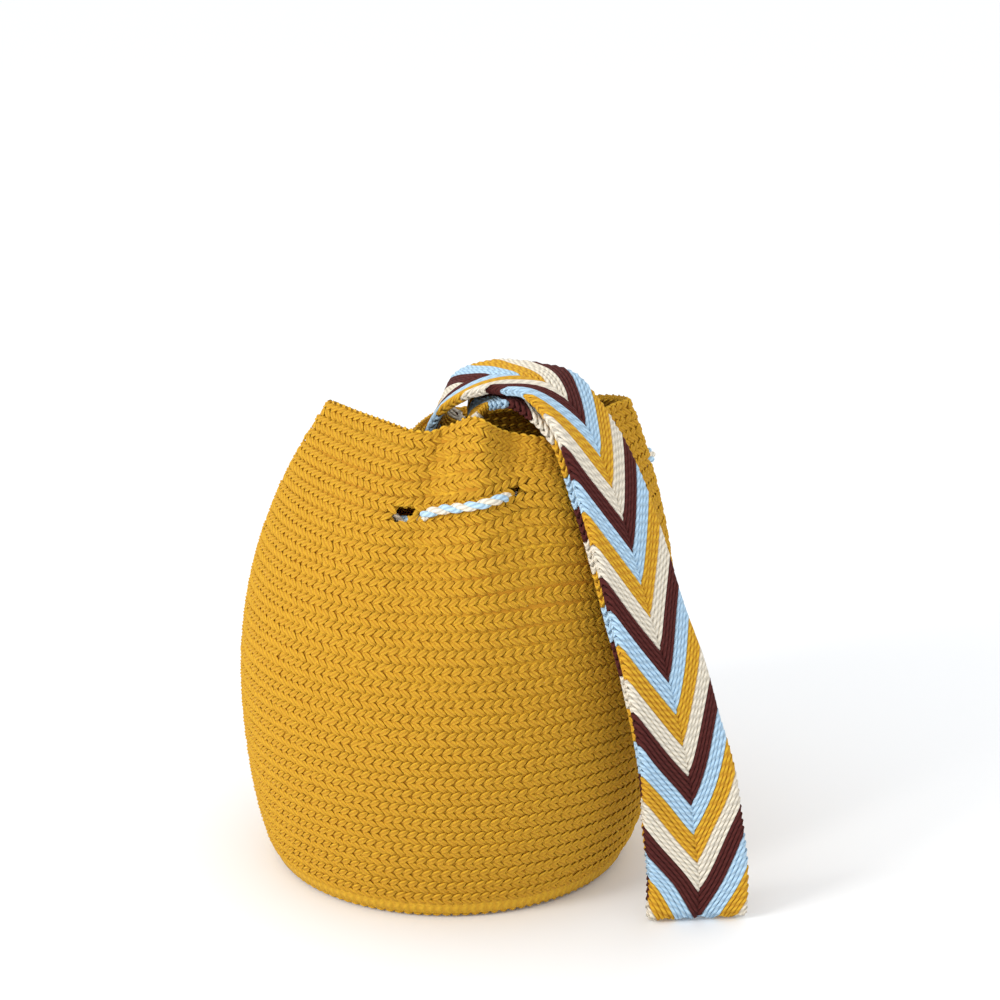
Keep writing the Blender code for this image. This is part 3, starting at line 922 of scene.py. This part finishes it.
def tail_points(angle, side):
    """A tail of the drawstring: out of its slot and down the outside of the back wall."""
    step = np.arange(TAIL_STEPS + 1)
    away = CORD_DIAMETER / 2 + CORD_CLEAR + TAIL_CLEAR + KNOT_STANDOFF * smooth(step / (TAIL_STEPS - 1))
    level = SLOT_LEVEL - TAIL_DROP * step / TAIL_STEPS
    lean = side * (TAIL_LEAN[0] + TAIL_LEAN[1] * smooth(step / (TAIL_STEPS / 2)))
    return inward(angle + lean, level, -away)


def trimmed(points, limit):
    """The first stretch of a line of points, cut at a length."""
    run = distances(points)
    kept = points[run < limit]
    end = [np.interp(limit, run, points[:, axis]) for axis in range(3)]
    return np.vstack([kept, end])


def twisted(name, line, finishes, sizes, turn=0.0):
    """Two plies of yarn twisted round each other along a line of points."""
    line = along_line(line, PLY_STEP)
    _, side, other = carried(line)
    run = distances(line)
    joined = bmesh.new()
    for ply in range(len(finishes)):
        angle = (run * math.tau / sizes.ply_pitch + turn + ply * math.pi)[:, None]
        ply_line = line + PLY_OFFSET * (side * np.cos(angle) + other * np.sin(angle))
        add_tube(joined, ply_line, PLY_RADIUS, 8, ply)
    return to_mesh(name, joined, *finishes), line


def knot(name, end, ahead, finishes, seed):
    """An overhand knot with the short brush of yarn ends below it."""
    draw = np.random.default_rng(seed)
    side = unit(np.cross(ahead, (0, 0, 1) if abs(ahead[2]) < 0.9 else (1, 0, 0)))
    other = np.cross(ahead, side)
    turn = np.linspace(0, math.tau, 73)
    joined = bmesh.new()
    middle = end + ahead * (KNOT_RADIUS + 0.0002)
    wraps = [middle + KNOT_SPREAD * (side * (math.sin(t) + 2 * math.sin(2 * t))
                                     + other * (math.cos(t) - 2 * math.cos(2 * t)) * 0.8
                                     - ahead * math.sin(3 * t) * 1.5) for t in turn]
    add_tube(joined, wraps, KNOT_CORD, 8)
    for i in range(BRUSH_ENDS):
        spin = math.tau * i / BRUSH_ENDS + draw.normal(0, 0.2)
        lean = draw.uniform(0.10, 0.24)
        away = side * math.cos(spin) + other * math.sin(spin)
        start = middle + ahead * KNOT_RADIUS * 0.5 + away * 0.0014
        reach = BRUSH_LENGTH * draw.uniform(0.85, 1.0)
        line = [start + reach * (ahead * t + away * lean * t ** 1.6) for t in np.linspace(0, 1, 7)]
        add_tube(joined, line, BRUSH_RADIUS * np.linspace(1.0, 0.7, 7), 5, i % 2)
    return to_mesh(name, joined, *finishes)


# ---------------------------------------------------------------- operators

def settings():
    """The sizes and colours in use."""
    return bpy.context.scene.mochila_sizes, bpy.context.scene.mochila_colours


class MOCHILA_OT_drawstring(bpy.types.Operator):
    """Lace the twisted cord through the slots and hang its knotted tails at the back"""
    bl_idname = "mochila.drawstring"
    bl_label = "Drawstring"

    def execute(self, context):
        sizes, tints = settings()
        plies = [yarn("cord_sky", tints.sky, CORD_TWISTS, 3), yarn("cord_cream", tints.cream, CORD_TWISTS, 3)]
        route = along_line(lacing_points(), ROUTE_STEP)
        laced, _ = twisted("drawstring_laced", route, plies, sizes, LACE_TURN)
        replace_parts(add_piece("drawstring_laced", laced), "drawstring")
        tuft = [yarn("knot_sky", tints.sky, 6), yarn("knot_cream", tints.cream, 6)]
        for word, slot, side in (("left", SLOT_ANGLES[5], 1), ("right", SLOT_ANGLES[4], -1)):
            route = trimmed(along_line(tail_points(slot, side), ROUTE_STEP), TAIL_LENGTH)
            mesh, line = twisted(f"tail_{word}", route, plies, sizes)
            tail = add_piece(f"tail_{word}", mesh)
            end = knot(f"knot_{word}", line[-1], unit(line[-1] - line[-3]), tuft, len(word))
            bob = add_piece(f"knot_{word}", end)
            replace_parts(tail, f"drawstring_tail_{word}")
            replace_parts(bob, f"drawstring_knot_{word}")
        return {"FINISHED"}


class MOCHILA_OT_body(bpy.types.Operator):
    """Crochet the body: its shell, rounds of stitches, base and rim"""
    bl_idname = "mochila.body"
    bl_label = "Crochet body"

    def execute(self, context):
        sizes, tints = settings()
        ground = knit_shell("crochet_ground", tints.mustard)
        shell = add_piece("bag_shell", bag_shell(ground))
        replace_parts(shell, "bag_body")
        cotton = yarn("mustard_yarn", tints.mustard, 0, depth=0.0006, dark=0.40, groove=1 / 3)
        for number, (word, first, last) in enumerate(STITCH_PIECES):
            mesh = stitches(f"stitches_{word}", first, last, cotton, sizes, number + 1)
            add_piece(f"stitches_{word}", mesh)
        mesh = stitches("stitches_inside", INSIDE_FROM, 1, cotton, sizes, 7, WALL, -1.0)
        add_piece("stitches_inside", mesh)
        add_piece("stitches_base", base_stitches("stitches_base", cotton, sizes, 8))
        add_piece("rim_chain", rim_stitches("rim_chain", cotton, 9))
        return {"FINISHED"}


class MOCHILA_OT_strap(bpy.types.Operator):
    """Weave the chevron strap along its route and sew its ends into the mouth"""
    bl_idname = "mochila.strap"
    bl_label = "Woven strap"

    def execute(self, context):
        sizes, tints = settings()
        route = strap_route()
        yarns = [yarn(f"strap_{word}", getattr(tints, word), STRAND_TWISTS)
                 for word in ("maroon", "sky", "mustard", "cream")]
        # The core has the dark maroon yarn: painted shade where it shows between the strands.
        core_shade = yarn("strap_core_shade", tints.maroon, 90, depth=0.0004)
        core = add_piece("strap_core", strap_core(route, core_shade, sizes))
        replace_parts(core, "strap")
        for word, face in (("front", 1), ("back", -1)):
            mesh = strap_arms(f"strap_{word}", route, face, yarns, sizes, 20 + face)
            add_piece(f"strap_{word}", mesh)
        thread = yarn("seam_yarn", tints.mustard, 2)
        for end, word in enumerate(("left", "right")):
            mesh = seam(f"seam_{word}", route, end, thread, 30 + end)
            add_piece(f"seam_{word}", mesh)
        return {"FINISHED"}


def area_light(name, place, size, power, tint=(1, 1, 1)):
    """A square soft light aimed at the bag."""
    data = bpy.data.lights.new(name, "AREA")
    data.size = size
    data.energy = power
    data.color = tint
    light = bpy.data.objects.new(name, data)
    light.location = place
    light.rotation_euler = (Vector(LIT_POINT) - Vector(place)).to_track_quat("-Z", "Y").to_euler()
    bpy.context.scene.collection.objects.link(light)


class MOCHILA_OT_stage(bpy.types.Operator):
    """Set the pale floor, the soft light and the camera"""
    bl_idname = "mochila.stage"
    bl_label = "Stage"

    def execute(self, context):
        tints = settings()[1]
        bm = bmesh.new()
        bmesh.ops.create_grid(bm, x_segments=1, y_segments=1, size=FLOOR_HALF)
        bmesh.ops.translate(bm, vec=(0, 0, -FLOOR_DROP), verts=bm.verts)
        made = Finish("pale_floor", 0.9)
        sockets = made.shader.inputs
        sockets["Base Color"].default_value = (*tints.floor, 1)
        sockets["Emission Color"].default_value = (1, 1, 1, 1)
        sockets["Emission Strength"].default_value = FLOOR_GLOW
        floor = bpy.data.objects.new("floor", to_mesh("floor", bm, made.material))
        context.scene.collection.objects.link(floor)
        world = bpy.data.worlds.new("studio")
        world.use_nodes = True
        sky = world.node_tree.nodes["Background"].inputs
        sky["Color"].default_value = (1, 1, 1, 1)
        sky["Strength"].default_value = WORLD_STRENGTH
        context.scene.world = world
        area_light("key", KEY_PLACE, KEY_SIZE, KEY_POWER, KEY_TINT)
        area_light("fill", FILL_PLACE, FILL_SIZE, FILL_POWER)
        data = bpy.data.cameras.new("camera")
        data.lens = CAMERA_LENS
        camera = bpy.data.objects.new("camera", data)
        camera.location = CAMERA_PLACE
        camera.rotation_euler = (math.radians(90 - CAMERA_TILT), 0, 0)
        context.scene.collection.objects.link(camera)
        context.scene.camera = camera
        context.scene.view_settings.view_transform = "Standard"
        return {"FINISHED"}


class MOCHILA_PT_panel(bpy.types.Panel):
    """The bag's sizes, colours and pieces"""
    bl_idname = "MOCHILA_PT_panel"
    bl_label = "Mochila bag"
    bl_space_type = "VIEW_3D"
    bl_region_type = "UI"
    bl_category = "Mochila"

    def draw(self, context):
        for group in (context.scene.mochila_sizes, context.scene.mochila_colours):
            for key in group.__annotations__:
                self.layout.prop(group, key)
        for operator in OPERATORS:
            self.layout.operator(operator.bl_idname)


OPERATORS = (MOCHILA_OT_stage, MOCHILA_OT_drawstring, MOCHILA_OT_body, MOCHILA_OT_strap)
CLASSES = (MochilaSizes, MochilaColours, *OPERATORS, MOCHILA_PT_panel)


def register():
    """Register the classes and put the sizes and colours on the scene."""
    for made in CLASSES:
        bpy.utils.register_class(made)
    bpy.types.Scene.mochila_sizes = bpy.props.PointerProperty(type=MochilaSizes)
    bpy.types.Scene.mochila_colours = bpy.props.PointerProperty(type=MochilaColours)


def unregister():
    """Take them all off again."""
    del bpy.types.Scene.mochila_colours
    del bpy.types.Scene.mochila_sizes
    for made in reversed(CLASSES):
        bpy.utils.unregister_class(made)


def main():
    """Build the stage and every piece."""
    register()
    bpy.ops.mochila.stage()
    bpy.ops.mochila.drawstring()
    bpy.ops.mochila.body()
    bpy.ops.mochila.strap()


if __name__ == "__main__":
    main()
